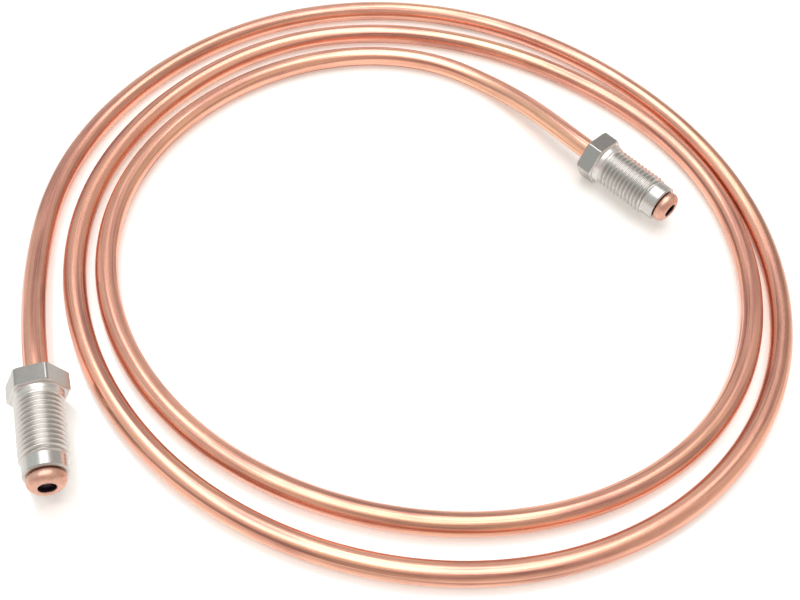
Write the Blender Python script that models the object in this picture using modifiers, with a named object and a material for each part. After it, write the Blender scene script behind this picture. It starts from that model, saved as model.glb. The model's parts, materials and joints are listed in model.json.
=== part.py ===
"""A copper brake pipe, 3/16 inch, wound into a flat coil and laid on the ground, with a steel male nut
loose on each of its flared ends.

The pipe is one tube: its bore runs from end to end and each end is pressed into a hollow bubble flare.
The nuts are turned from hexagon bar and threaded 3/8 inch UNF; they turn on the pipe and seat on the
back of its flares. Metres, Z up, ground at Z = 0, coil seen clockwise from above from nut A to nut B.
"""

import math

import bmesh
import bpy
import numpy as np
from mathutils import Matrix, Vector

MM = 0.001

# Pipe: 3/16 inch copper tube
PIPE_OD = 4.76 * MM
PIPE_WALL = 0.71 * MM
PIPE_SIDES = 16
BORE_SIDES = 12

# Bubble flare, measured back from its nose
FLARE_OD = 7.3 * MM
FLARE_LIP_WALL = 0.45 * MM
FLARE_DOME = 1.6 * MM
FLARE_CROWN = 0.35 * MM
FLARE_BACK_ANGLE = math.radians(45)
FLARE_RINGS = 5

# Nut: 3/8 inch x 24 UNF male, with a hexagon for its spanner
HEX_ACROSS_FLATS = 10.6 * MM
HEX_LENGTH = 4.3 * MM
HEX_CHAMFER_ANGLE = math.radians(30)
HEX_CHAMFER_SETBACK = 0.15 * MM
COLLAR_OD = 9.7 * MM
COLLAR_LENGTH = 1.6 * MM
THREAD_OD = 9.4 * MM
THREAD_LENGTH = 12.9 * MM
THREAD_LEAD_IN = 0.45 * MM
DOG_OD = 8.4 * MM
DOG_LENGTH = 2.95 * MM
DOG_CHAMFER = 0.3 * MM
NUT_MOUTH = 0.5 * MM
NUT_SEGMENTS = 46
# How many degrees each nut has turned from having a flat straight up
NUT_A_ROLL = 6.0
NUT_B_ROLL = 2.0

# Fits
BORE_CLEARANCE = 0.3 * MM
SEAT_CLEARANCE = 0.3 * MM
GROUND_CLEARANCE = 0.15 * MM

# How far a cutter runs past the face that it cuts
CUTTER_OVERRUN = 0.5 * MM

# Coil: where the middle of the pipe runs, as it was wound by hand. Stations stand evenly round each
# clockwise turn. The outermost turn is given as shares of the coil's radius, and the turns inside it by
# their gap to the pipe outside them, as shares of the usual gap.
COIL_RADIUS = 81.0 * MM
TURN_GAP = 3.4 * MM
FIRST_STATION = 180.0
OUTER_TURN = (1.035, 1.032, 1.043, 1.031, 0.991, 0.980, 0.994, 1.011, 1.007, 0.988, 0.970, 0.951)
SECOND_TURN = (0.94, 1.15, 1.32, 1.65, 1.06, 0.26, 0.41, 0.79, 1.32, 1.50, 1.12, 0.62)
THIRD_TURN = (0.56, 0.85, 1.29, 1.91)
STATION_STEP = 360.0 / len(OUTER_TURN)

# Ends of the coil: end A stands off outside the first turn, end B turns in towards the middle
END_A_ANGLE = 144.8
END_A_GAP = 6.0 * MM
END_A_HEADING = 112.0
END_B_ANGLE = 1036.4
END_B_GAP = 18.0 * MM
END_B_HEADING = -41.2
COIL_STEP = 6.0

# Ends: a straight tail through each nut, which comes down to the ground along the first of the coil
STRAIGHT_BEHIND_NUT = 2.8 * MM
END_SLOPE_LENGTH = 40.0 * MM

# Worked out from the sizes above
BORE_OD = PIPE_OD - 2 * PIPE_WALL
HEX_ACROSS_CORNERS = HEX_ACROSS_FLATS / math.cos(math.radians(30))
HEX_CHAMFER_OD = HEX_ACROSS_FLATS - 2 * HEX_CHAMFER_SETBACK
NUT_BORE = PIPE_OD + 2 * BORE_CLEARANCE
NUT_LENGTH = HEX_LENGTH + COLLAR_LENGTH + THREAD_LENGTH + DOG_LENGTH
FLARE_BACK = (FLARE_OD - PIPE_OD) / 2 / math.tan(FLARE_BACK_ANGLE)
FLARE_LENGTH = FLARE_DOME + FLARE_CROWN + FLARE_BACK
NUT_FACE_FROM_NOSE = FLARE_DOME + FLARE_CROWN + 0.45 * FLARE_BACK
TAIL_LENGTH = NUT_FACE_FROM_NOSE + NUT_LENGTH + STRAIGHT_BEHIND_NUT
END_HEIGHT = HEX_ACROSS_CORNERS / 2 + GROUND_CLEARANCE
GROUND_HEIGHT = PIPE_OD / 2


def clear_scene():
    for obj in list(bpy.data.objects):
        bpy.data.objects.remove(obj, do_unlink=True)


def make_collection(name):
    collection = bpy.data.collections.new(name)
    bpy.context.scene.collection.children.link(collection)
    return collection


def make_material(name, colour, roughness, metallic):
    material = bpy.data.materials.new(name)
    material.use_nodes = True
    shader = material.node_tree.nodes["Principled BSDF"]
    shader.inputs["Base Color"].default_value = (*colour, 1.0)
    shader.inputs["Roughness"].default_value = roughness
    shader.inputs["Metallic"].default_value = metallic
    material.diffuse_color = (*colour, 1.0)
    return material


def add_object(name, mesh, collection, material=None):
    obj = bpy.data.objects.new(name, mesh)
    collection.objects.link(obj)
    if material:
        mesh.materials.append(material)
    return obj


def hide_cutter(obj):
    obj.display_type = "WIRE"
    obj.hide_render = True


def shade_round(obj, angle=35):
    obj.data.shade_smooth()
    obj.data.set_sharp_from_angle(angle=math.radians(angle))


# The route of the pipe

def polar(angle, radius):
    """Plan position at an angle turned clockwise, seen from above, from +X."""
    turn = math.radians(angle)
    return np.array([radius * math.cos(turn), -radius * math.sin(turn)])


def coil_stations():
    """Angle and radius of every station, from end A to end B."""
    per_turn = len(OUTER_TURN)
    radii = [COIL_RADIUS * share for share in OUTER_TURN]
    end_a = radii[-1] + PIPE_OD + END_A_GAP
    for share in SECOND_TURN + THIRD_TURN:
        radii.append(radii[-per_turn] - PIPE_OD - TURN_GAP * share)
    end_b = radii[-per_turn] - PIPE_OD - END_B_GAP
    angles = [FIRST_STATION + STATION_STEP * k for k in range(len(radii))]
    return ([END_A_ANGLE] + angles + [END_B_ANGLE]), ([end_a] + radii + [end_b])


def radius_slope(angle, radius, heading):
    """Change of radius per radian where the pipe runs in the given heading."""
    outward = polar(angle, 1.0)
    forward = polar(angle + 90, 1.0)
    direction = np.array([math.cos(math.radians(heading)), math.sin(math.radians(heading))])
    return radius * direction.dot(outward) / direction.dot(forward)


def clamped_spline(knots, values, start_slope, end_slope):
    """A cubic spline through the values with a given slope at each end, as a function."""
    knots, values = np.array(knots), np.array(values)
    count = len(knots)
    step = np.diff(knots)
    matrix = np.zeros((count, count))
    right = np.zeros(count)
    matrix[0, 0] = matrix[-1, -1] = 1.0
    right[0], right[-1] = start_slope, end_slope
    for k in range(1, count - 1):
        matrix[k, k - 1:k + 2] = step[k], 2 * (step[k - 1] + step[k]), step[k - 1]
        rise_before = (values[k] - values[k - 1]) / step[k - 1]
        rise_after = (values[k + 1] - values[k]) / step[k]
        right[k] = 3 * (step[k] * rise_before + step[k - 1] * rise_after)
    slopes = np.linalg.solve(matrix, right)

    def evaluate(x):
        k = int(np.clip(np.searchsorted(knots, x) - 1, 0, count - 2))
        t = (x - knots[k]) / step[k]
        keep, arrive = (1 + 2 * t) * (1 - t) ** 2, t * t * (3 - 2 * t)
        leave, reach = t * (1 - t) ** 2, t * t * (t - 1)
        return (keep * values[k] + arrive * values[k + 1]
                + step[k] * (leave * slopes[k] + reach * slopes[k + 1]))

    return evaluate


def coil_plan():
    """Plan points of the wound part, evenly spread along its turns."""
    angles, radii = coil_stations()
    start = radius_slope(angles[0], radii[0], END_A_HEADING)
    end = radius_slope(angles[-1], radii[-1], END_B_HEADING)
    radius_at = clamped_spline(np.radians(angles), radii, start, end)
    count = round((angles[-1] - angles[0]) / COIL_STEP)
    turned = np.linspace(angles[0], angles[-1], count + 1)
    return np.array([polar(angle, radius_at(math.radians(angle))) for angle in turned])


def eased_height(distance):
    """Height of the pipe's middle at a distance along the coil from the end of a tail."""
    t = min(distance / END_SLOPE_LENGTH, 1.0)
    return END_HEIGHT + (GROUND_HEIGHT - END_HEIGHT) * t * t * (3 - 2 * t)


def coil_route():
    """Points of the wound part in space, centred over the origin."""
    plan = coil_plan()
    plan -= (plan.max(axis=0) + plan.min(axis=0)) / 2
    run = np.concatenate([[0.0], np.cumsum(np.linalg.norm(np.diff(plan, axis=0), axis=1))])
    heights = [max(eased_height(s), eased_height(run[-1] - s)) for s in run]
    return [Vector((x, y, z)) for (x, y), z in zip(plan, heights)]


def heading_vector(heading):
    return Vector((math.cos(math.radians(heading)), math.sin(math.radians(heading)), 0.0))


def flare_stations():
    """Distance back from the nose, outer radius and inner radius through the flare."""
    lip = BORE_OD / 2 + FLARE_LIP_WALL
    crown = FLARE_OD / 2
    stations = []
    for k in range(FLARE_RINGS + 1):
        turn = math.pi / 2 * k / FLARE_RINGS
        stations.append((FLARE_DOME * (1 - math.cos(turn)), lip + (crown - lip) * math.sin(turn)))
    stations.append((FLARE_DOME + FLARE_CROWN, crown))
    stations.append((FLARE_LENGTH, PIPE_OD / 2))
    # The tube wall is folded round a hollow bubble that opens into the bore
    return [(back, outer, max(BORE_OD / 2, min(outer, crown) - 2 * PIPE_WALL)) for back, outer in stations]


def pipe_stations():
    """Every ring of the pipe from nose A to nose B: its centre, outer radius and inner radius."""
    coil = coil_route()
    tail_a, tail_b = -heading_vector(END_A_HEADING), heading_vector(END_B_HEADING)
    nose_a, nose_b = coil[0] + tail_a * TAIL_LENGTH, coil[-1] + tail_b * TAIL_LENGTH
    plain = (PIPE_OD / 2, BORE_OD / 2)
    rings_a = [(nose_a - tail_a * back, outer, inner) for back, outer, inner in flare_stations()]
    rings_b = [(nose_b - tail_b * back, outer, inner) for back, outer, inner in flare_stations()]
    return rings_a + [(point, *plain) for point in coil] + rings_b[::-1]


# The pieces

def swept_mesh(name, rings, sides):
    """Closed mesh of a round section swept along rings of (centre, radius)."""
    curve = bpy.data.curves.new(name, "CURVE")
    curve.dimensions = "3D"
    curve.use_fill_caps = True
    curve.bevel_depth = PIPE_OD / 2
    curve.bevel_resolution = sides // 2 - 2
    spline = curve.splines.new("POLY")
    spline.points.add(len(rings) - 1)
    for point, (centre, radius) in zip(spline.points, rings):
        point.co = (*centre, 1.0)
        point.radius = radius / curve.bevel_depth
    source = bpy.data.objects.new(name, curve)
    bpy.context.scene.collection.objects.link(source)
    evaluated = source.evaluated_get(bpy.context.evaluated_depsgraph_get())
    mesh = bpy.data.meshes.new_from_object(evaluated)
    mesh.name = name
    bpy.data.objects.remove(source)
    work = bmesh.new()
    work.from_mesh(mesh)
    bmesh.ops.remove_doubles(work, verts=work.verts, dist=0.01 * MM)
    bmesh.ops.recalc_face_normals(work, faces=work.faces)
    work.to_mesh(mesh)
    work.free()
    return mesh


def make_pipe(parts, cutters, copper):
    rings = pipe_stations()
    pipe = add_object("copper_pipe", swept_mesh("copper_pipe", [r[:2] for r in rings], PIPE_SIDES), parts, copper)
    bore_rings = [(centre, inner) for centre, outer, inner in rings]
    # The bore breaks out through both noses
    for end, neighbour in ((0, 1), (-1, -2)):
        outwards = (bore_rings[end][0] - bore_rings[neighbour][0]).normalized()
        bore_rings[end] = (bore_rings[end][0] + outwards * CUTTER_OVERRUN, bore_rings[end][1])
    bore = add_object("bore_cutter", swept_mesh("bore_cutter", bore_rings, BORE_SIDES), cutters)
    hide_cutter(bore)
    cut = pipe.modifiers.new("Bore", "BOOLEAN")
    cut.operation = "DIFFERENCE"
    cut.object = bore
    shade_round(pipe)
    return pipe


def turned(name, profile, collection, material=None):
    """A turned shape about Z from its profile of (radius, height), listed from top to bottom."""
    mesh = bpy.data.meshes.new(name)
    points = [(radius, 0.0, height) for radius, height in profile]
    mesh.from_pydata(points, [(k, k + 1) for k in range(len(points) - 1)], [])
    obj = add_object(name, mesh, collection, material)
    screw = obj.modifiers.new("Turn", "SCREW")
    screw.axis = "Z"
    screw.steps = screw.render_steps = NUT_SEGMENTS
    screw.use_merge_vertices = True
    screw.merge_threshold = 0.01 * MM
    return obj


def hexagon_bar(name, collection, material):
    """A length of hexagon bar with its ends square and two of its flats facing up and down, +Y and -Y."""
    mesh = bpy.data.meshes.new(name)
    work = bmesh.new()
    bmesh.ops.create_cone(work, cap_ends=True, segments=6, radius1=HEX_ACROSS_CORNERS / 2,
                          radius2=HEX_ACROSS_CORNERS / 2, depth=HEX_LENGTH,
                          matrix=Matrix.Translation((0, 0, HEX_LENGTH / 2)) @ Matrix.Rotation(math.radians(30), 4, "Z"))
    work.to_mesh(mesh)
    work.free()
    return add_object(name, mesh, collection, material)


def chamfer_profile():
    """The turned envelope that takes the corners off both ends of the hexagon."""
    wide = HEX_ACROSS_CORNERS / 2 + BORE_CLEARANCE
    narrow = HEX_CHAMFER_OD / 2
    depth = (wide - narrow) * math.tan(HEX_CHAMFER_ANGLE)
    past = CUTTER_OVERRUN
    tip = narrow - past / math.tan(HEX_CHAMFER_ANGLE)
    return [(0, HEX_LENGTH + past), (tip, HEX_LENGTH + past), (wide, HEX_LENGTH - depth), (wide, depth), (tip, -past),
            (0, -past)]


def shank_profile():
    """Collar, thread blank and dog point, from the nose down into the middle of the hexagon."""
    thread_start = HEX_LENGTH + COLLAR_LENGTH
    thread_end = thread_start + THREAD_LENGTH
    collar, thread, dog = COLLAR_OD / 2, THREAD_OD / 2, DOG_OD / 2
    return [(0, NUT_LENGTH), (dog - DOG_CHAMFER, NUT_LENGTH), (dog, NUT_LENGTH - DOG_CHAMFER), (dog, thread_end),
            (thread, thread_end - THREAD_LEAD_IN), (thread, thread_start), (collar, thread_start - (collar - thread)),
            (collar, HEX_LENGTH / 2), (0, HEX_LENGTH / 2)]


def nut_bore_profile():
    """Through bore, with a mouth at the hexagon and a cone at the nose that faces the back of the flare."""
    bore = NUT_BORE / 2
    past = CUTTER_OVERRUN
    # Radius of the flare's back where it passes the nut's face, plus the clearance square to its slope
    cone_at_face = (FLARE_OD / 2 - (NUT_FACE_FROM_NOSE - FLARE_DOME - FLARE_CROWN) * math.tan(FLARE_BACK_ANGLE)
                    + SEAT_CLEARANCE / math.cos(FLARE_BACK_ANGLE))
    cone_depth = (cone_at_face - bore) / math.tan(FLARE_BACK_ANGLE)
    cone_past = cone_at_face + past * math.tan(FLARE_BACK_ANGLE)
    return [(0, NUT_LENGTH + past), (cone_past, NUT_LENGTH + past), (bore, NUT_LENGTH - cone_depth),
            (bore, NUT_MOUTH), (bore + NUT_MOUTH + past, -past), (0, -past)]


def boolean(obj, name, operation, tool):
    modifier = obj.modifiers.new(name, "BOOLEAN")
    modifier.operation = operation
    modifier.object = tool


def make_nut(letter, nose, heading, roll, parts, cutters, steel):
    """A nut seated on the flare whose nose is given, rolled about its axis, which runs from the nut's origin
    at the back of the hexagon."""
    nut = hexagon_bar("tube_nut_" + letter, parts, steel)
    envelope = turned("chamfer_envelope_" + letter, chamfer_profile(), cutters)
    shank = turned("shank_" + letter, shank_profile(), cutters)
    bore = turned("nut_bore_cutter_" + letter, nut_bore_profile(), cutters)
    boolean(nut, "Chamfered corners", "INTERSECT", envelope)
    boolean(nut, "Threaded shank", "UNION", shank)
    boolean(nut, "Bore and seat", "DIFFERENCE", bore)
    axis = heading_vector(heading)
    up = Vector((0, 0, 1))
    place = Matrix.Translation(nose - axis * (NUT_FACE_FROM_NOSE + NUT_LENGTH))
    level = Matrix((up.cross(axis), up, axis)).transposed().to_4x4()
    nut.matrix_world = place @ level @ Matrix.Rotation(math.radians(roll), 4, "Z")
    bpy.context.view_layer.update()
    for tool in (envelope, shank, bore):
        tool.parent = nut
        hide_cutter(tool)
    return nut


def main():
    clear_scene()
    parts = make_collection("Brake pipe")
    cutters = make_collection("Cutters")
    copper = make_material("Copper", (0.62, 0.27, 0.17), 0.25, 1.0)
    steel_a = make_material("Plated steel A", (0.60, 0.59, 0.56), 0.32, 1.0)
    steel_b = make_material("Plated steel B", (0.60, 0.59, 0.56), 0.32, 1.0)
    make_pipe(parts, cutters, copper)
    rings = pipe_stations()
    make_nut("a", rings[0][0], END_A_HEADING + 180, NUT_A_ROLL, parts, cutters, steel_a)
    make_nut("b", rings[-1][0], END_B_HEADING, NUT_B_ROLL, parts, cutters, steel_b)
    bpy.context.view_layer.update()


main()
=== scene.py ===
"""Looks of a copper brake line, wound into a flat coil, with a plated steel nut loose on each flared end.

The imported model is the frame: its joints say where the nuts sit and which way their axes run. One node
tree sweeps the tube with its flares and its bore, another turns the nuts with their hexagons and threads,
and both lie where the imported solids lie. Metres, Z up, ground at Z = 0. Seen from above, the coil winds
clockwise from nut A to nut B.
"""

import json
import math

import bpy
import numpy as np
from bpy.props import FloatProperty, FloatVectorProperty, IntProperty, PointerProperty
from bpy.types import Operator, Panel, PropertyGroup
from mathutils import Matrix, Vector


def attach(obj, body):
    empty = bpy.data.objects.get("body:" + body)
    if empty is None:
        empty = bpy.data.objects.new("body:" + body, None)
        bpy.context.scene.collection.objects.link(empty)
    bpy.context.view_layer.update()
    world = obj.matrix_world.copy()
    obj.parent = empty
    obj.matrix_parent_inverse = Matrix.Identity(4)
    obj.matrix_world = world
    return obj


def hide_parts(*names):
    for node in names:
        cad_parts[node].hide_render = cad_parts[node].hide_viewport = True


bl_info = {
    "name": "Coiled brake line",
    "version": (1, 0, 0),
    "blender": (4, 5, 0),
    "location": "View3D > Sidebar > Brake line",
    "description": "Copper brake line with bubble flares and threaded tube nuts, on a pale floor",
    "category": "Add Mesh",
}

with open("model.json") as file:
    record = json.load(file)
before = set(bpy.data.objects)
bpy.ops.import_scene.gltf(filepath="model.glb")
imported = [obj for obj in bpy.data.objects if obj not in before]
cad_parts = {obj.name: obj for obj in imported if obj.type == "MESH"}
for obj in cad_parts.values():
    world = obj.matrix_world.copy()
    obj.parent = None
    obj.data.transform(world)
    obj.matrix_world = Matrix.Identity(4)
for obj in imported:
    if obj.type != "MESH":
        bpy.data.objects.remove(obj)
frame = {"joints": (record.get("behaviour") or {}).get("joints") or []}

MM = 0.001
JOINTS = {joint["child"]: joint for joint in frame["joints"]}

# Coil: a station every 30 degrees of clockwise turn, as in the solids. The outermost turn is given as
# shares of the coil's radius, the turns inside it by their gap to the tube outside them.
COIL_RADIUS = 81.0 * MM
TURN_GAP = 3.4 * MM
FIRST_STATION = 180.0
OUTER_TURN = (1.035, 1.032, 1.043, 1.031, 0.991, 0.980, 0.994, 1.011, 1.007, 0.988, 0.970, 0.951)
SECOND_TURN = (0.94, 1.15, 1.32, 1.65, 1.06, 0.26, 0.41, 0.79, 1.32, 1.50, 1.12, 0.62)
THIRD_TURN = (0.56, 0.85, 1.29, 1.91)
STATION_STEP = 360.0 / len(OUTER_TURN)
END_A_ANGLE = 144.8
END_A_GAP = 6.0 * MM
END_B_ANGLE = 1036.4
END_B_GAP = 18.0 * MM
COIL_STEP = 1.5
END_SLOPE_LENGTH = 40.0 * MM

# Bubble flare, measured back from its nose, with a 45 degree slope behind its crown
FLARE_LIP = 0.22 * MM
FLARE_DOME = 1.6 * MM
FLARE_CROWN = 0.35 * MM
DOME_RINGS = 22
SLOPE_RINGS = 8
# How far the pressing has dulled the copper, and how deep the bright rounding of the bore's mouth reaches
# before the painted shade inside the bore begins
FLARE_REACH = 4.0 * MM
LIP_DEPTH = 0.2 * MM

# Nut, measured along its axis from the back of its hexagon
HEX_LENGTH = 4.3 * MM
COLLAR_LENGTH = 1.6 * MM
THREAD_LENGTH = 12.9 * MM
DOG_LENGTH = 2.95 * MM
NUT_LENGTH = HEX_LENGTH + COLLAR_LENGTH + THREAD_LENGTH + DOG_LENGTH
# How far the thread runs out into the collar
RUN_OUT = 0.2 * MM
THREAD_START = HEX_LENGTH + COLLAR_LENGTH - RUN_OUT
THREAD_END = HEX_LENGTH + COLLAR_LENGTH + THREAD_LENGTH
# The length over which the crests of the thread come down to the dog point. The grooves reach their
# depth at 1 / THREAD_FADE of a pitch from either end.
THREAD_LEAD = 0.6 * MM
THREAD_FADE = 2.5
BORE_MOUTH = 0.4 * MM
SEAT_DEPTH = 0.6 * MM
EDGE_BEVEL = 0.3 * MM
COLLAR_FILLET = 0.2 * MM
FILLET_STEPS = 4
# Half the angle that one flat of the hexagon takes, the slope at which its corners are turned off, and
# the height of the bevel round its faces as a share of the bevel's width
HALF_FLAT = math.radians(30)
CHAMFER_ANGLE = math.radians(30)
BEVEL_HEIGHT = 0.8
# Where on the flare's slope the nut's face stands, from its crown, and the straight tube behind the nut
NUT_ON_SLOPE = 0.45
STRAIGHT_BEHIND_NUT = 2.8 * MM
# How many degrees each nut has turned from having a flat straight up
NUT_ROLL = {"nut_a": 6.0, "nut_b": 2.0}

# One pitch of the thread: share of the pitch, and how much of the thread's depth is cut away there
THREAD_FORM = (
    (0.0, 0.04), (0.06, 0.0), (0.12, 0.04), (0.22, 0.34), (0.33, 0.66), (0.43, 0.92),
    (0.49, 0.99), (0.56, 1.0), (0.63, 0.99), (0.69, 0.92), (0.79, 0.66), (0.90, 0.34),
)

# Points closer than this are one
MERGE_DISTANCE = 0.001 * MM
# Edges bent more than this are sharp
SHARP_ANGLE = math.radians(25)
# Keeps a whole number from being rounded down
NUDGE = 0.0001

# Camera: fitted to the coil's outlines in the photograph, its focal length in pixels of that picture
CAMERA_PLACE = (-1.97 * MM, -166.26 * MM, 182.2 * MM)
CAMERA_DEPRESSION = math.radians(50.9)
CAMERA_ROLL = math.radians(-7.8)
IMAGE_WIDTH = 800
FOCAL_LENGTH = 1075
SENSOR_WIDTH = 36.0


# Sizes and colours that a user would change

class TubeSettings(PropertyGroup):
    diameter: FloatProperty(
        name="Diameter", description="Outside diameter of the tube",
        default=4.76 * MM, unit="LENGTH", precision=5)
    wall: FloatProperty(
        name="Wall", description="Thickness of the tube's wall",
        default=0.71 * MM, unit="LENGTH", precision=5)
    flare: FloatProperty(
        name="Flare", description="Largest diameter of the bubble flares",
        default=7.3 * MM, unit="LENGTH", precision=5)
    sides: IntProperty(
        name="Sides", description="Facets round the tube",
        default=40, min=12)
    copper: FloatVectorProperty(
        name="Copper", description="Colour of the clean copper",
        default=(0.95, 0.50, 0.365), subtype="COLOR")
    tarnish: FloatVectorProperty(
        name="Tarnish", description="Colour of the tarnished copper",
        default=(0.43, 0.20, 0.165), subtype="COLOR")
    golden: FloatVectorProperty(
        name="Golden", description="Colour of the copper's golden patches",
        default=(0.93, 0.60, 0.355), subtype="COLOR")
    annealed: FloatVectorProperty(
        name="Flare's copper", description="Colour of the pressed, duller flares",
        default=(0.70, 0.43, 0.34), subtype="COLOR")
    # The bore's colour is painted shade: a dark plum-grey that stands in for the shade inside the tube.
    inside: FloatVectorProperty(
        name="Inside", description="Colour of the dull bore",
        default=(0.32, 0.25, 0.29), subtype="COLOR")
    roughness: FloatProperty(
        name="Roughness", description="Roughness of the drawn surface",
        default=0.3, min=0.0, max=1.0, subtype="FACTOR")


class NutSettings(PropertyGroup):
    across_flats: FloatProperty(
        name="Across flats", description="Size of the hexagon for its spanner",
        default=10.6 * MM, unit="LENGTH", precision=5)
    corner_radius: FloatProperty(
        name="Corner radius", description="Rounding of the hexagon's corners",
        default=0.5 * MM, unit="LENGTH", precision=5)
    bevel: FloatProperty(
        name="Bevel", description="Width of the bevel round both faces of the hexagon",
        default=0.28 * MM, unit="LENGTH", precision=5)
    chamfer: FloatProperty(
        name="Chamfer", description="Diameter outside which the hexagon's corners are turned off",
        default=11.6 * MM, unit="LENGTH", precision=5)
    collar: FloatProperty(
        name="Collar", description="Diameter of the collar under the hexagon",
        default=9.7 * MM, unit="LENGTH", precision=5)
    thread: FloatProperty(
        name="Thread", description="Diameter over the thread's crests",
        default=9.4 * MM, unit="LENGTH", precision=5)
    pitch: FloatProperty(
        name="Pitch", description="Pitch of the thread, 24 to the inch",
        default=25.4 / 24 * MM, unit="LENGTH", precision=5)
    depth: FloatProperty(
        name="Thread depth", description="Depth of the thread",
        default=0.6 * MM, unit="LENGTH", precision=5)
    dog: FloatProperty(
        name="Dog point", description="Diameter of the plain point",
        default=8.4 * MM, unit="LENGTH", precision=5)
    bore: FloatProperty(
        name="Bore", description="Diameter of the through bore",
        default=5.36 * MM, unit="LENGTH", precision=5)
    columns: IntProperty(
        name="Columns", description="Columns of faces on each flat of the hexagon",
        default=24, min=6)
    plating: FloatVectorProperty(
        name="Plating", description="Colour of the zinc plating",
        default=(0.69, 0.67, 0.645), subtype="COLOR")
    roughness: FloatProperty(
        name="Roughness", description="Roughness of the plating",
        default=0.32, min=0.0, max=1.0, subtype="FACTOR")


class StageSettings(PropertyGroup):
    floor: FloatVectorProperty(
        name="Floor", description="Colour of the floor",
        default=(0.91, 0.91, 0.91), subtype="COLOR")
    floor_size: FloatProperty(
        name="Floor size", description="Width of the floor",
        default=6.0, unit="LENGTH")
    floor_glow: FloatVectorProperty(
        name="Floor's own glow", description="Lifts the floor to white round the part",
        default=(0.37, 0.345, 0.31), subtype="COLOR")
    floor_roughness: FloatProperty(
        name="Floor roughness", description="Roughness of the floor's gloss",
        default=0.12, min=0.0, max=1.0, subtype="FACTOR")
    floor_index: FloatProperty(
        name="Floor's index", description="Index of refraction of the floor: higher is glossier",
        default=2.0, min=1.0)
    key_width: FloatProperty(
        name="Soft light width", description="Width of the overhead soft light",
        default=0.94, unit="LENGTH")
    key_length: FloatProperty(
        name="Soft light length", description="Length of the soft light, front to back",
        default=1.18, unit="LENGTH")
    key_left: FloatProperty(
        name="Soft light to the left", description="How far the soft light hangs to the left",
        default=0.08, unit="LENGTH")
    key_back: FloatProperty(
        name="Soft light behind", description="How far the soft light hangs behind the part",
        default=0.09, unit="LENGTH")
    key_height: FloatProperty(
        name="Soft light height", description="Height of the soft light above the floor",
        default=1.0, unit="LENGTH")
    key_level: FloatProperty(
        name="Soft light level", description="Brightness of the soft light's face",
        default=2.5, min=0.0)
    room: FloatVectorProperty(
        name="Room", description="Colour of the room's light",
        default=(0.33, 0.33, 0.33), subtype="COLOR")
    room_behind: FloatVectorProperty(
        name="Far room in gloss", description="Colour of the far side of the room as metal shows it",
        default=(0.51, 0.47, 0.45), subtype="COLOR")
    room_horizon: FloatVectorProperty(
        name="Far horizon in gloss", description="Colour of the far side's foot as metal shows it",
        default=(0.74, 0.76, 0.74), subtype="COLOR")
    room_ahead: FloatVectorProperty(
        name="Near room in gloss", description="Colour of the near side of the room as metal shows it",
        default=(0.65, 0.57, 0.53), subtype="COLOR")
    room_left: FloatVectorProperty(
        name="Left of the room in gloss", description="Colour of the room's left side as metal shows it",
        default=(0.76, 0.81, 0.79), subtype="COLOR")
    room_right: FloatVectorProperty(
        name="Right of the room in gloss", description="Colour of the room's right side as metal shows it",
        default=(0.76, 0.72, 0.65), subtype="COLOR")


# Node trees as expressions

class Socket:
    """An output socket. Arithmetic on it adds the Math nodes that work it out."""

    def __init__(self, nodes, socket):
        self.nodes = nodes
        self.socket = socket

    def out(self, name):
        """Another output of the same node."""
        return Socket(self.nodes, self.socket.node.outputs[name])

    def math(self, operation, *others):
        return self.nodes.add("ShaderNodeMath", {"operation": operation}, dict(enumerate((self, *others))))

    def reflected(self, operation, other):
        return self.nodes.add("ShaderNodeMath", {"operation": operation}, {0: other, 1: self})

    def __add__(self, other):
        return self.math("ADD", other)

    def __sub__(self, other):
        return self.math("SUBTRACT", other)

    def __mul__(self, other):
        return self.math("MULTIPLY", other)

    def __truediv__(self, other):
        return self.math("DIVIDE", other)

    def __pow__(self, other):
        return self.math("POWER", other)

    def __lt__(self, other):
        return self.math("LESS_THAN", other)

    def __gt__(self, other):
        return self.math("GREATER_THAN", other)

    def __neg__(self):
        return self.math("MULTIPLY", -1.0)

    def __rsub__(self, other):
        return self.reflected("SUBTRACT", other)

    def __rtruediv__(self, other):
        return self.reflected("DIVIDE", other)

    __radd__ = __add__
    __rmul__ = __mul__

    def clamp(self, low=0.0, high=1.0):
        return self.math("MAXIMUM", low).math("MINIMUM", high)

    def above(self, level, gain):
        """How far it stands above a level, times a gain, kept from 0 to 1."""
        return ((self - level) * gain).clamp()


class Nodes:
    """A node tree, filled by one method."""

    def __init__(self, tree):
        self.tree = tree
        tree.nodes.clear()

    def join(self, socket, value):
        if isinstance(value, Socket):
            self.tree.links.new(value.socket, socket)
        elif hasattr(socket.default_value, "__len__") and len(value) < len(socket.default_value):
            socket.default_value = (*value, 1.0)
        else:
            socket.default_value = value

    def add(self, kind, settings=None, inputs=None, output=0):
        """A new node: its settings are set first, then its inputs are given values or links."""
        node = self.tree.nodes.new(kind)
        for name, value in (settings or {}).items():
            setattr(node, name, value)
        for name, value in (inputs or {}).items():
            for one in value if isinstance(value, list) else [value]:
                self.join(node.inputs[name], one)
        return Socket(self, node.outputs[output]) if node.outputs else None

    def mix(self, share, first, second):
        """A colour between two colours."""
        return self.add("ShaderNodeMix", {"data_type": "RGBA"}, {0: share, 6: first, 7: second}, 2)

    def noise(self, place, scale, detail=2.0, roughness=0.5):
        """Noise of about 0.5, with features about 1 / scale metres wide."""
        return self.add("ShaderNodeTexNoise", {}, {
            "Vector": place, "Scale": scale, "Detail": detail, "Roughness": roughness})

    def drawn_out(self, place, squeeze):
        """The place with its Z shrunk, which draws a pattern out along Z."""
        return self.add("ShaderNodeMapping", {}, {"Vector": place, "Scale": (1.0, 1.0, squeeze)})

    def attribute(self, name, output="Fac"):
        return self.add("ShaderNodeAttribute", {"attribute_name": name}, {}, output)


def material_nodes(name):
    material = bpy.data.materials.new(name)
    material.use_nodes = True
    return material, Nodes(material.node_tree)


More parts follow.
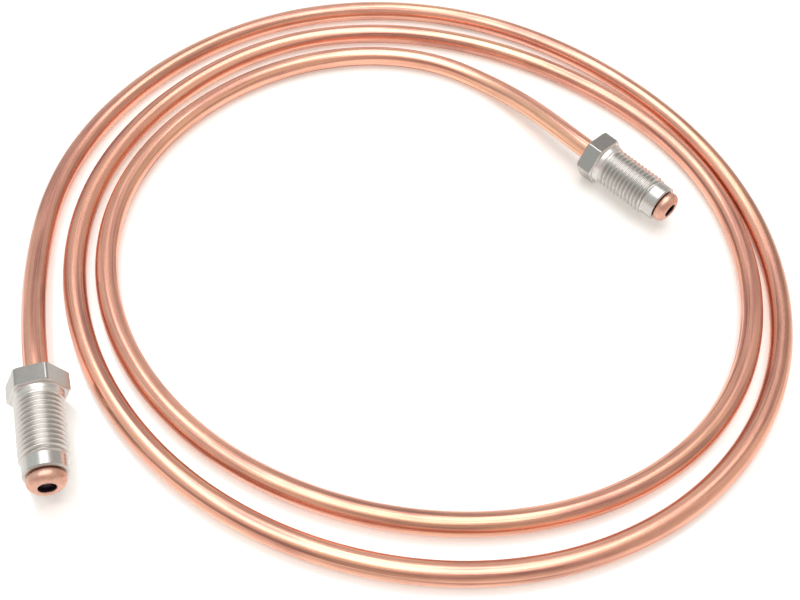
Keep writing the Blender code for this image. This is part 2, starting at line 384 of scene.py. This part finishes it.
def geometry_nodes(name, inputs):
    """A new geometry tree with its named inputs besides the geometry, as its nodes and its input node."""
    tree = bpy.data.node_groups.new(name, "GeometryNodeTree")
    tree.interface.new_socket("Geometry", in_out="INPUT", socket_type="NodeSocketGeometry")
    for label, kind in inputs.items():
        tree.interface.new_socket(label, in_out="INPUT", socket_type="NodeSocket" + kind)
    tree.interface.new_socket("Geometry", in_out="OUTPUT", socket_type="NodeSocketGeometry")
    nodes = Nodes(tree)
    return nodes, nodes.add("NodeGroupInput")


def stored_value(nodes, name, kind="FLOAT"):
    return nodes.add("GeometryNodeInputNamedAttribute", {"data_type": kind}, {"Name": name})


def store(nodes, geometry, name, value, kind="FLOAT"):
    return nodes.add("GeometryNodeStoreNamedAttribute", {"data_type": kind, "domain": "POINT"},
                     {"Geometry": geometry, "Name": name, "Value": value})


def finish_tree(nodes, geometry, material):
    """Smooth shading, real geometry and a material, then the group's output."""
    smooth = nodes.add("GeometryNodeSetShadeSmooth", {}, {"Geometry": geometry})
    real = nodes.add("GeometryNodeRealizeInstances", {}, {"Geometry": smooth})
    dressed = nodes.add("GeometryNodeSetMaterial", {}, {"Geometry": real, "Material": material})
    nodes.add("NodeGroupOutput", {}, {"Geometry": dressed})


def chain_object(name, points, **values):
    """A chain of edges through the points, with float attributes on them, for a node tree to work on."""
    mesh = bpy.data.meshes.new(name)
    mesh.from_pydata([tuple(point) for point in points], [(k, k + 1) for k in range(len(points) - 1)], [])
    for label, numbers in values.items():
        attribute = mesh.attributes.new(label, "FLOAT", "POINT")
        attribute.data.foreach_set("value", np.array(numbers, np.float32))
    obj = bpy.data.objects.new(name, mesh)
    bpy.context.scene.collection.objects.link(obj)
    return obj


def grown_mesh(host, tree, inputs, keep):
    """The plain mesh that a node tree makes of its host, which goes, as do attributes that aren't kept."""
    modifier = host.modifiers.new("Shape", "NODES")
    modifier.node_group = tree
    for item in tree.interface.items_tree:
        if item.in_out == "INPUT" and item.name in inputs:
            modifier[item.identifier] = inputs[item.name]
    evaluated = host.evaluated_get(bpy.context.evaluated_depsgraph_get())
    mesh = bpy.data.meshes.new_from_object(evaluated)
    source = host.data
    bpy.data.objects.remove(host)
    bpy.data.meshes.remove(source)
    for name in [a.name for a in mesh.attributes if not a.is_required and not a.is_internal]:
        if name not in (*keep, "material_index"):
            mesh.attributes.remove(mesh.attributes[name])
    # The host's own empty slots come first
    while mesh.materials[0] is None:
        mesh.materials.pop(index=0)
    return mesh


def add_piece(name, mesh, body, node):
    """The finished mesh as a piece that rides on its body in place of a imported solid."""
    mesh.name = name
    piece = bpy.data.objects.new(name, mesh)
    bpy.context.scene.collection.objects.link(piece)
    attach(piece, body)
    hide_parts(node)
    return piece


# The route of the tube, from the frame's joints and the stations

def polar(angle, radius):
    """Plan position at an angle turned clockwise, seen from above, from +X."""
    turn = math.radians(angle)
    return np.array([radius * math.cos(turn), -radius * math.sin(turn)])


def eased(share):
    """Rises from 0 to 1 with level ends."""
    return share * share * (3 - 2 * share)


def coil_stations(diameter):
    """Angle and radius of every station, from end A to end B."""
    per_turn = len(OUTER_TURN)
    radii = [COIL_RADIUS * share for share in OUTER_TURN]
    end_a = radii[-1] + diameter + END_A_GAP
    for share in SECOND_TURN + THIRD_TURN:
        radii.append(radii[-per_turn] - diameter - TURN_GAP * share)
    end_b = radii[-per_turn] - diameter - END_B_GAP
    angles = [FIRST_STATION + STATION_STEP * k for k in range(len(radii))]
    return [END_A_ANGLE] + angles + [END_B_ANGLE], [end_a] + radii + [end_b]


def radius_slope(angle, radius, direction):
    """Change of radius per radian where the tube runs in the given direction."""
    return radius * direction.dot(polar(angle, 1.0)) / direction.dot(polar(angle + 90, 1.0))


def clamped_spline(knots, values, start_slope, end_slope):
    """A cubic spline through the values with a given slope at each end, as a function."""
    knots, values = np.array(knots), np.array(values)
    count = len(knots)
    step = np.diff(knots)
    matrix = np.zeros((count, count))
    right = np.zeros(count)
    matrix[0, 0] = matrix[-1, -1] = 1.0
    right[0], right[-1] = start_slope, end_slope
    rise = np.diff(values) / step
    for k in range(1, count - 1):
        matrix[k, k - 1:k + 2] = step[k], 2 * (step[k - 1] + step[k]), step[k - 1]
        right[k] = 3 * (step[k] * rise[k - 1] + step[k - 1] * rise[k])
    slopes = np.linalg.solve(matrix, right)

    def evaluate(x):
        k = int(np.clip(np.searchsorted(knots, x) - 1, 0, count - 2))
        t = (x - knots[k]) / step[k]
        level = values[k] + (values[k + 1] - values[k]) * eased(t)
        return level + step[k] * (t * (1 - t) ** 2 * slopes[k] + t * t * (t - 1) * slopes[k + 1])

    return evaluate


def nut_axis(body):
    """Where a nut's axis starts, at the back of its hexagon, and its direction towards the nose."""
    return Vector(JOINTS[body]["pos_m"]), Vector(JOINTS[body]["axis"]).normalized()


def coil_points(diameter):
    """The middle of the tube along the wound part, from tail A to tail B."""
    back_a, axis_a = nut_axis("nut_a")
    _, axis_b = nut_axis("nut_b")
    angles, radii = coil_stations(diameter)
    start = radius_slope(angles[0], radii[0], -np.array(axis_a.xy))
    end = radius_slope(angles[-1], radii[-1], np.array(axis_b.xy))
    radius_at = clamped_spline(np.radians(angles), radii, start, end)
    turned = np.linspace(angles[0], angles[-1], round((angles[-1] - angles[0]) / COIL_STEP) + 1)
    plan = np.array([polar(angle, radius_at(math.radians(angle))) for angle in turned])
    plan += np.array((back_a - axis_a * STRAIGHT_BEHIND_NUT).xy) - plan[0]
    run = np.concatenate([[0.0], np.cumsum(np.linalg.norm(np.diff(plan, axis=0), axis=1))])
    low, high = diameter / 2, back_a.z
    points = []
    for (x, y), distance in zip(plan, run):
        share = min(min(distance, run[-1] - distance) / END_SLOPE_LENGTH, 1.0)
        points.append(Vector((x, y, high + (low - high) * eased(share))))
    return points


def flare_rings(tube):
    """Rings of a bubble flare: distance back from the nose, outer radius and bore radius."""
    bore, crown = tube.diameter / 2 - tube.wall, tube.flare / 2
    lip = bore + FLARE_LIP
    drop = crown - tube.diameter / 2
    rings = []
    for k in range(DOME_RINGS + 1):
        turn = math.pi / 2 * k / DOME_RINGS
        rings.append((FLARE_DOME * (1 - math.cos(turn)), lip + (crown - lip) * math.sin(turn)))
    # Behind the dome the wall rounds over and runs down its slope to the tube
    for k in range(1, SLOPE_RINGS + 1):
        share = k / SLOPE_RINGS
        rings.append((FLARE_DOME + FLARE_CROWN + drop * share, crown - drop * eased(share)))
    hollow = []
    for back, outer in rings:
        # The mouth is rounded, and behind it the wall is folded round a hollow bubble
        short = FLARE_LIP - min(back, FLARE_LIP)
        mouth = bore + FLARE_LIP - math.sqrt(max(FLARE_LIP ** 2 - short ** 2, 0.0))
        bubble = outer - 2 * tube.wall if back > 2 * FLARE_LIP else 0.0
        hollow.append((back, outer, min(max(mouth, bubble), outer)))
    return hollow


def tube_rings(tube):
    """Every ring of the tube from nose A to nose B: centre, outer radius, bore radius."""
    coil = coil_points(tube.diameter)
    drop = (tube.flare - tube.diameter) / 2
    nose_from_nut = FLARE_DOME + FLARE_CROWN + NUT_ON_SLOPE * drop
    rings = {}
    for body, end in (("nut_a", coil[0]), ("nut_b", coil[-1])):
        _, axis = nut_axis(body)
        nose = end + axis * (STRAIGHT_BEHIND_NUT + NUT_LENGTH + nose_from_nut)
        rings[body] = [(nose - axis * back, outer, inner) for back, outer, inner in flare_rings(tube)]
    plain = (tube.diameter / 2, tube.diameter / 2 - tube.wall)
    return rings["nut_a"] + [(point, *plain) for point in coil] + rings["nut_b"][::-1]


# The tube

def tube_tree():
    """Sweeps a round section along a chain: once for the outside, once turned inside out for the bore."""
    nodes, given = geometry_nodes("Swept tube", {"Sides": "Int", "Material": "Material"})
    path = nodes.add("GeometryNodeMeshToCurve", {}, {"Mesh": given})
    path = nodes.add("GeometryNodeSetCurveNormal", {"mode": "Z_UP"}, {"Curve": path})
    path = store(nodes, path, "run", nodes.add("GeometryNodeSplineParameter", output="Length"))
    circle = nodes.add("GeometryNodeCurvePrimitiveCircle", {}, {
        "Resolution": given.out("Sides"), "Radius": 1.0})
    circle = store(nodes, circle, "section", nodes.add("GeometryNodeInputPosition"), "FLOAT_VECTOR")
    walls = []
    for radius in ("outer", "bore"):
        wall = nodes.add("GeometryNodeCurveToMesh", {}, {
            "Curve": path, "Profile Curve": circle, "Scale": stored_value(nodes, radius)})
        across = nodes.add("ShaderNodeVectorMath", {"operation": "SCALE"}, {
            0: stored_value(nodes, "section", "FLOAT_VECTOR"), "Scale": stored_value(nodes, radius)})
        along = nodes.add("ShaderNodeCombineXYZ", {}, {"Z": stored_value(nodes, "run")})
        straightened = nodes.add("ShaderNodeVectorMath", {"operation": "ADD"}, {0: across, 1: along})
        wall = store(nodes, wall, "straightened", straightened, "FLOAT_VECTOR")
        walls.append(store(nodes, wall, "hollow", float(radius == "bore")))
    walls[1] = nodes.add("GeometryNodeFlipFaces", {}, {"Mesh": walls[1]})
    both = nodes.add("GeometryNodeJoinGeometry", {}, {"Geometry": walls})
    closed = nodes.add("GeometryNodeMergeByDistance", {}, {"Geometry": both, "Distance": MERGE_DISTANCE})
    finish_tree(nodes, closed, given.out("Material"))
    return nodes.tree


def copper_material(tube, length):
    """Bright drawn copper: lines along the tube, patches of tarnish, a bore painted dark as its shade, and
    satin flares.
    """
    material, nodes = material_nodes("Drawn copper")
    place = nodes.attribute("straightened", "Vector")
    run = nodes.add("ShaderNodeSeparateXYZ", {}, {"Vector": place}, "Z")
    drawn = nodes.drawn_out(place, squeeze=0.012)
    lines = nodes.noise(drawn, scale=3200.0, detail=3.0)
    bands = nodes.noise(drawn, scale=1000.0)
    patches = nodes.noise(nodes.drawn_out(place, squeeze=0.25), scale=260.0, detail=4.0, roughness=0.6)
    golden = nodes.noise(nodes.drawn_out(place, squeeze=0.1), scale=170.0, detail=3.0)
    tarnish = patches.above(0.45, 4.0) * 0.35 + lines.above(0.5, 7.0) * 0.4 + bands.above(0.46, 7.0) * 0.56
    colour = nodes.mix(golden.above(0.5, 5.0) * 0.6, tube.copper, tube.golden)
    colour = nodes.mix(tarnish.clamp(), colour, tube.tarnish)
    # The flares, at both ends
    flare = ((FLARE_REACH - run) / MM).clamp() + ((run - (length - FLARE_REACH)) / MM).clamp()
    colour = nodes.mix(flare * 0.75, colour, tube.annealed)
    # Painted shade: the bore past the rounding of its mouth takes the dark inside colour
    inside = nodes.attribute("hollow") * (run > LIP_DEPTH) * (run < length - LIP_DEPTH)
    colour = nodes.mix(inside, colour, tube.inside)
    roughness = tube.roughness + (patches - 0.5) * 0.15 + (lines - 0.5) * 0.3 + flare * 0.12
    bump = nodes.add("ShaderNodeBump", {}, {
        "Height": lines * 0.6 + bands, "Strength": 0.5, "Distance": 0.05 * MM})
    shader = nodes.add("ShaderNodeBsdfPrincipled", {}, {
        "Base Color": colour, "Metallic": 1.0, "Roughness": roughness.clamp(0.05, 0.9), "Normal": bump})
    nodes.add("ShaderNodeOutputMaterial", {}, {"Surface": shader})
    return material


class BRAKELINE_OT_tube(Operator):
    """Sweep the copper tube with its flares and its bore"""

    bl_idname = "brakeline.tube"
    bl_label = "Copper tube"

    def execute(self, context):
        tube = context.scene.brakeline_tube
        centres, outer, bore = zip(*tube_rings(tube))
        host = chain_object("tube_path", centres, outer=outer, bore=bore)
        length = sum((after - before).length for before, after in zip(centres, centres[1:]))
        inputs = {"Sides": tube.sides, "Material": copper_material(tube, length)}
        mesh = grown_mesh(host, tube_tree(), inputs, keep=("straightened", "hollow"))
        add_piece("drawn_copper_tube", mesh, "pipe", "copper_pipe")
        return {"FINISHED"}


# The nuts

def outline_row(radius, height, side=0, edge=0, turn=0.0, cut=0.0):
    """A point of the nut's outline: radius and height, which end of the hexagon's flats it is, whether it
    edges a face of the hexagon, its turn of the thread, and its share of the thread's depth."""
    return radius, height, side, edge, turn, cut


def nut_outline(nut):
    """The nut's outline from the mouth of its bore, round the outside and back through the bore."""
    bore, dog = nut.bore / 2, nut.dog / 2
    collar, thread = nut.collar / 2, nut.thread / 2
    rows = [outline_row(bore, BORE_MOUTH), outline_row(bore + BORE_MOUTH, 0.0),
            outline_row(0.0, 0.0, edge=1), outline_row(0.0, 0.0, side=-1),
            outline_row(0.0, HEX_LENGTH, side=1), outline_row(0.0, HEX_LENGTH, edge=1)]
    for k in range(FILLET_STEPS + 1):
        turn = math.pi / 2 * k / FILLET_STEPS
        rows.append(outline_row(collar + COLLAR_FILLET * (1 - math.sin(turn)),
                                HEX_LENGTH + COLLAR_FILLET * (1 - math.cos(turn))))
    rows += [outline_row(collar, THREAD_START - EDGE_BEVEL), outline_row(thread, THREAD_START)]
    for turn in range(math.ceil((THREAD_END - THREAD_START) / nut.pitch) + 1):
        rows += [outline_row(thread, THREAD_START, turn=turn + share, cut=cut)
                 for share, cut in THREAD_FORM]
    rows += [outline_row(dog, THREAD_END), outline_row(dog, NUT_LENGTH - EDGE_BEVEL),
             outline_row(dog - EDGE_BEVEL, NUT_LENGTH), outline_row(bore + SEAT_DEPTH, NUT_LENGTH),
             outline_row(bore, NUT_LENGTH - SEAT_DEPTH), outline_row(bore, BORE_MOUTH)]
    return rows


def nut_tree():
    """Turns an outline about Z, with its hexagon rows pushed out to the flats and its thread rows wound."""
    sizes = ("Half flats", "Corner radius", "Bevel", "Chamfer", "Pitch", "Depth", "Start", "End", "Dog",
             "Lead")
    nodes, given = geometry_nodes("Tube nut", {
        "Rows": "Int", "Columns": "Int", **dict.fromkeys(sizes, "Float"), "Material": "Material"})
    rows, columns = given.out("Rows"), given.out("Columns")
    half, corner, bevel, chamfer, pitch, depth, start, end, dog, lead = (given.out(size) for size in sizes)
    grid = nodes.add("GeometryNodeMeshGrid", {}, {"Vertices X": columns * 6 + 1, "Vertices Y": rows})
    index = nodes.add("GeometryNodeInputIndex")
    column = (index / rows + NUDGE).math("FLOOR")
    row = index - column * rows

    def from_row(value, kind="FLOAT"):
        return nodes.add("GeometryNodeSampleIndex", {"data_type": kind, "domain": "POINT"}, {
            "Geometry": given, "Value": value, "Index": row})

    base = nodes.add("ShaderNodeSeparateXYZ", {}, {
        "Vector": from_row(nodes.add("GeometryNodeInputPosition"), "FLOAT_VECTOR")})
    side, edge, turn, cut = (from_row(stored_value(nodes, name))
                             for name in ("hex_side", "hex_edge", "turn", "cut"))

    # Columns crowd towards the corners of the hexagon, to round them
    across = column / columns
    flat = (across + NUDGE).math("FLOOR")
    lean = ((across - flat) * math.pi - math.pi / 2).math("SINE") * HALF_FLAT
    angle = (flat + 0.5) * (2 * HALF_FLAT) + lean
    to_flat = half / lean.math("COSINE")
    stand = (half - corner) / math.cos(HALF_FLAT)
    off = HALF_FLAT - lean.math("ABSOLUTE")
    within = corner * corner - (stand * off.math("SINE")) ** 2.0
    to_corner = stand * off.math("COSINE") + within.math("MAXIMUM", 0.0).math("SQRT")
    rounded = lean.math("ABSOLUTE") > ((half - corner) * math.tan(HALF_FLAT) / half).math("ARCTANGENT")
    hexagon = to_flat + rounded * (to_corner - to_flat)
    face_edge = (hexagon - bevel).math("MINIMUM", chamfer - bevel)
    turned_off = (hexagon - chamfer).math("MAXIMUM", 0.0) * math.tan(CHAMFER_ANGLE)
    radius = base.out("X") + side.math("ABSOLUTE") * hexagon + edge * face_edge
    height = base.out("Z") - side * (bevel * BEVEL_HEIGHT + turned_off)

    # Thread rows wind up the shank between the collar and the dog point, and fade at both ends
    on_thread = turn > 0.0
    wound = start + pitch * (turn - 1.0 + angle / (2 * math.pi))
    wound = wound.math("MAXIMUM", start).math("MINIMUM", end)
    left = end - wound
    fade = ((wound - start) / pitch * THREAD_FADE).clamp() * (left / pitch * THREAD_FADE).clamp()
    lead_in = dog + left * ((base.out("X") - dog) / lead)
    thread = (base.out("X") - cut * depth * fade).math("MINIMUM", lead_in)
    radius = radius + on_thread * (thread - radius)
    height = height + on_thread * (wound - height)

    place = nodes.add("ShaderNodeCombineXYZ", {}, {
        "X": radius * angle.math("COSINE"), "Y": radius * angle.math("SINE"), "Z": height})
    # How deep each point lies in the thread's grooves, for the plating's painted shade there
    grooved = store(nodes, grid, "groove", on_thread * cut * fade)
    shaped = nodes.add("GeometryNodeSetPosition", {}, {"Geometry": grooved, "Position": place})
    closed = nodes.add("GeometryNodeMergeByDistance", {}, {"Geometry": shaped, "Distance": MERGE_DISTANCE})
    marked = store(nodes, closed, "turned", nodes.add("GeometryNodeInputPosition"), "FLOAT_VECTOR")
    finish_tree(nodes, marked, given.out("Material"))
    return nodes.tree


def plating_material(nut):
    """Satin zinc plating over turned steel: fine rings round the nut, faint stains, and painted shade in
    the thread's grooves.
    """
    material, nodes = material_nodes("Zinc plating")
    place = nodes.attribute("turned", "Vector")
    parts = nodes.add("ShaderNodeSeparateXYZ", {}, {"Vector": place})
    along = parts.out("Z")
    out = (parts.out("X") ** 2.0 + parts.out("Y") ** 2.0).math("SQRT")
    rings = nodes.noise(nodes.add("ShaderNodeCombineXYZ", {}, {"X": out, "Z": along}), scale=9000.0)
    clouds = nodes.noise(place, scale=700.0, detail=4.0, roughness=0.6)
    grain = nodes.noise(place, scale=9000.0, detail=3.0)
    colour = nodes.mix(clouds.above(0.5, 2.5) * 0.3, nut.plating, nut.plating * 0.68)
    # Painted shade: the plating darkens towards the roots of the thread's grooves
    colour = nodes.mix(nodes.attribute("groove") ** 3.0 * 0.55, colour, nut.plating * 0.3)
    # The hexagon up to its front bevel, and the dog point, are smoother and darker than the rest
    hexagon = along < HEX_LENGTH - nut.bevel * 0.9
    dark = hexagon * 0.75 + (along > THREAD_END) * 0.35
    colour = nodes.mix(dark, colour, nut.plating * 0.5)
    roughness = nut.roughness - dark * 0.16 + (clouds - 0.5) * 0.15 + (grain - 0.5) * 0.1
    bump = nodes.add("ShaderNodeBump", {}, {
        "Height": rings * 0.8 + grain * 0.12, "Strength": 0.2, "Distance": 0.02 * MM})
    shader = nodes.add("ShaderNodeBsdfPrincipled", {}, {
        "Base Color": colour, "Metallic": 1.0, "Roughness": roughness.clamp(0.08, 0.9), "Normal": bump})
    nodes.add("ShaderNodeOutputMaterial", {}, {"Surface": shader})
    return material


def nut_mesh(nut, tree, material, body):
    """The nut's mesh, set on its joint's axis and rolled about it."""
    radii, heights, sides, edges, turns, cuts = zip(*nut_outline(nut))
    host = chain_object("nut_outline", [(radius, 0.0, height) for radius, height in zip(radii, heights)],
                        hex_side=sides, hex_edge=edges, turn=turns, cut=cuts)
    inputs = {"Rows": len(radii), "Columns": nut.columns, "Half flats": nut.across_flats / 2,
              "Corner radius": nut.corner_radius, "Bevel": nut.bevel, "Chamfer": nut.chamfer / 2,
              "Pitch": nut.pitch, "Depth": nut.depth, "Start": THREAD_START, "End": THREAD_END,
              "Dog": nut.dog / 2, "Lead": THREAD_LEAD, "Material": material}
    mesh = grown_mesh(host, tree, inputs, keep=("turned", "groove"))
    mesh.set_sharp_from_angle(angle=SHARP_ANGLE)
    back, axis = nut_axis(body)
    up = Vector((0, 0, 1))
    level = Matrix((up.cross(axis), up, axis)).transposed().to_4x4()
    mesh.transform(Matrix.Translation(back) @ level @ Matrix.Rotation(math.radians(NUT_ROLL[body]), 4, "Z"))
    return mesh


class BRAKELINE_OT_nuts(Operator):
    """Turn the two tube nuts, with their hexagons and threads, and seat them on the flares"""

    bl_idname = "brakeline.nuts"
    bl_label = "Tube nuts"

    def execute(self, context):
        nut = context.scene.brakeline_nut
        tree = nut_tree()
        material = plating_material(nut)
        for body in NUT_ROLL:
            mesh = nut_mesh(nut, tree, material, body)
            add_piece("threaded_" + body, mesh, body, "tube_" + body)
        return {"FINISHED"}


# Stage

def add_camera():
    """The photograph's camera: its right, up and backward directions from its depression and roll."""
    tilt, roll = CAMERA_DEPRESSION, CAMERA_ROLL
    ahead = Vector((0.0, math.cos(tilt), -math.sin(tilt)))
    level, down = Vector((1.0, 0.0, 0.0)), Vector((0.0, -math.sin(tilt), -math.cos(tilt)))
    right = level * math.cos(roll) + down * math.sin(roll)
    below = down * math.cos(roll) - level * math.sin(roll)
    data = bpy.data.cameras.new("camera")
    data.sensor_fit = "HORIZONTAL"
    data.sensor_width = SENSOR_WIDTH
    data.lens = SENSOR_WIDTH * FOCAL_LENGTH / IMAGE_WIDTH
    data.clip_start = 1 * MM
    camera = bpy.data.objects.new("camera", data)
    turn = Matrix((right, -below, -ahead)).transposed().to_4x4()
    camera.matrix_world = Matrix.Translation(CAMERA_PLACE) @ turn
    bpy.context.scene.collection.objects.link(camera)
    bpy.context.scene.camera = camera


def add_floor(stage):
    mesh = bpy.data.meshes.new("floor")
    half = stage.floor_size / 2
    corners = [(-half, -half, 0), (half, -half, 0), (half, half, 0), (-half, half, 0)]
    mesh.from_pydata(corners, [], [(0, 1, 2, 3)])
    material, nodes = material_nodes("Pale floor")
    ray = nodes.add("ShaderNodeLightPath", {}, {}, "Is Camera Ray")
    seen = ray.math("MAXIMUM", ray.out("Is Glossy Ray"))
    shader = nodes.add("ShaderNodeBsdfPrincipled", {}, {
        "Base Color": stage.floor, "Roughness": stage.floor_roughness, "IOR": stage.floor_index,
        "Emission Color": nodes.mix(seen, (0.0, 0.0, 0.0), stage.floor_glow), "Emission Strength": 1.0})
    nodes.add("ShaderNodeOutputMaterial", {}, {"Surface": shader})
    mesh.materials.append(material)
    floor = bpy.data.objects.new("floor", mesh)
    bpy.context.scene.collection.objects.link(floor)


def add_lights(stage):
    """One large soft light overhead, in a plain room whose sides differ only as gloss shows them."""
    data = bpy.data.lights.new("soft_light", "AREA")
    data.shape = "RECTANGLE"
    data.size = stage.key_width
    data.size_y = stage.key_length
    # The power for a given brightness of its face
    data.energy = stage.key_level * math.pi * stage.key_width * stage.key_length
    light = bpy.data.objects.new("soft_light", data)
    light.location = (-stage.key_left, stage.key_back, stage.key_height)
    light.visible_camera = False
    bpy.context.scene.collection.objects.link(light)
    world = bpy.data.worlds.new("room")
    world.use_nodes = True
    bpy.context.scene.world = world
    nodes = Nodes(world.node_tree)
    ray = nodes.add("ShaderNodeLightPath", {}, {}, "Is Glossy Ray")
    direction = nodes.add("ShaderNodeTexCoord", {}, {}, "Generated")
    right = nodes.add("ShaderNodeSeparateXYZ", {}, {"Vector": direction}, "X")
    far = right.out("Y")
    gloss = nodes.mix((far + 0.5).clamp(), stage.room_ahead, stage.room_behind)
    gloss = nodes.mix(far.above(0.7, 4.0), gloss, stage.room_horizon)
    # Left and right count only where the direction is well away from near and far
    sideways = right * 1.5 * (1.0 - far * far * 1.8).clamp()
    gloss = nodes.mix((-sideways).clamp(), gloss, stage.room_left)
    gloss = nodes.mix(sideways.clamp(), gloss, stage.room_right)
    colour = nodes.mix(ray, stage.room, gloss)
    colour = nodes.mix(ray.out("Is Camera Ray"), colour, (1.0, 1.0, 1.0))
    background = nodes.add("ShaderNodeBackground", {}, {"Color": colour, "Strength": 1.0})
    nodes.add("ShaderNodeOutputWorld", {}, {"Surface": background})


class BRAKELINE_OT_stage(Operator):
    """Set up the pale floor, the soft light and the photograph's camera"""

    bl_idname = "brakeline.stage"
    bl_label = "Stage"

    def execute(self, context):
        stage = context.scene.brakeline_stage
        context.scene.view_settings.view_transform = "Standard"
        add_camera()
        add_floor(stage)
        add_lights(stage)
        return {"FINISHED"}


class BRAKELINE_PT_panel(Panel):
    bl_label = "Brake line"
    bl_space_type = "VIEW_3D"
    bl_region_type = "UI"
    bl_category = "Brake line"

    def draw(self, context):
        scene = context.scene
        groups = ((BRAKELINE_OT_stage, scene.brakeline_stage), (BRAKELINE_OT_tube, scene.brakeline_tube),
                  (BRAKELINE_OT_nuts, scene.brakeline_nut))
        for operator, settings in groups:
            column = self.layout.column(align=True)
            for name in settings.__annotations__:
                column.prop(settings, name)
            column.operator(operator.bl_idname)


CLASSES = (TubeSettings, NutSettings, StageSettings,
           BRAKELINE_OT_tube, BRAKELINE_OT_nuts, BRAKELINE_OT_stage, BRAKELINE_PT_panel)


def register():
    for cls in CLASSES:
        bpy.utils.register_class(cls)
    bpy.types.Scene.brakeline_tube = PointerProperty(type=TubeSettings)
    bpy.types.Scene.brakeline_nut = PointerProperty(type=NutSettings)
    bpy.types.Scene.brakeline_stage = PointerProperty(type=StageSettings)


def unregister():
    del bpy.types.Scene.brakeline_tube
    del bpy.types.Scene.brakeline_nut
    del bpy.types.Scene.brakeline_stage
    for cls in reversed(CLASSES):
        bpy.utils.unregister_class(cls)


def main():
    register()
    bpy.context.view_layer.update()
    bpy.ops.brakeline.stage()
    bpy.ops.brakeline.tube()
    bpy.ops.brakeline.nuts()


if __name__ == "__main__":
    main()
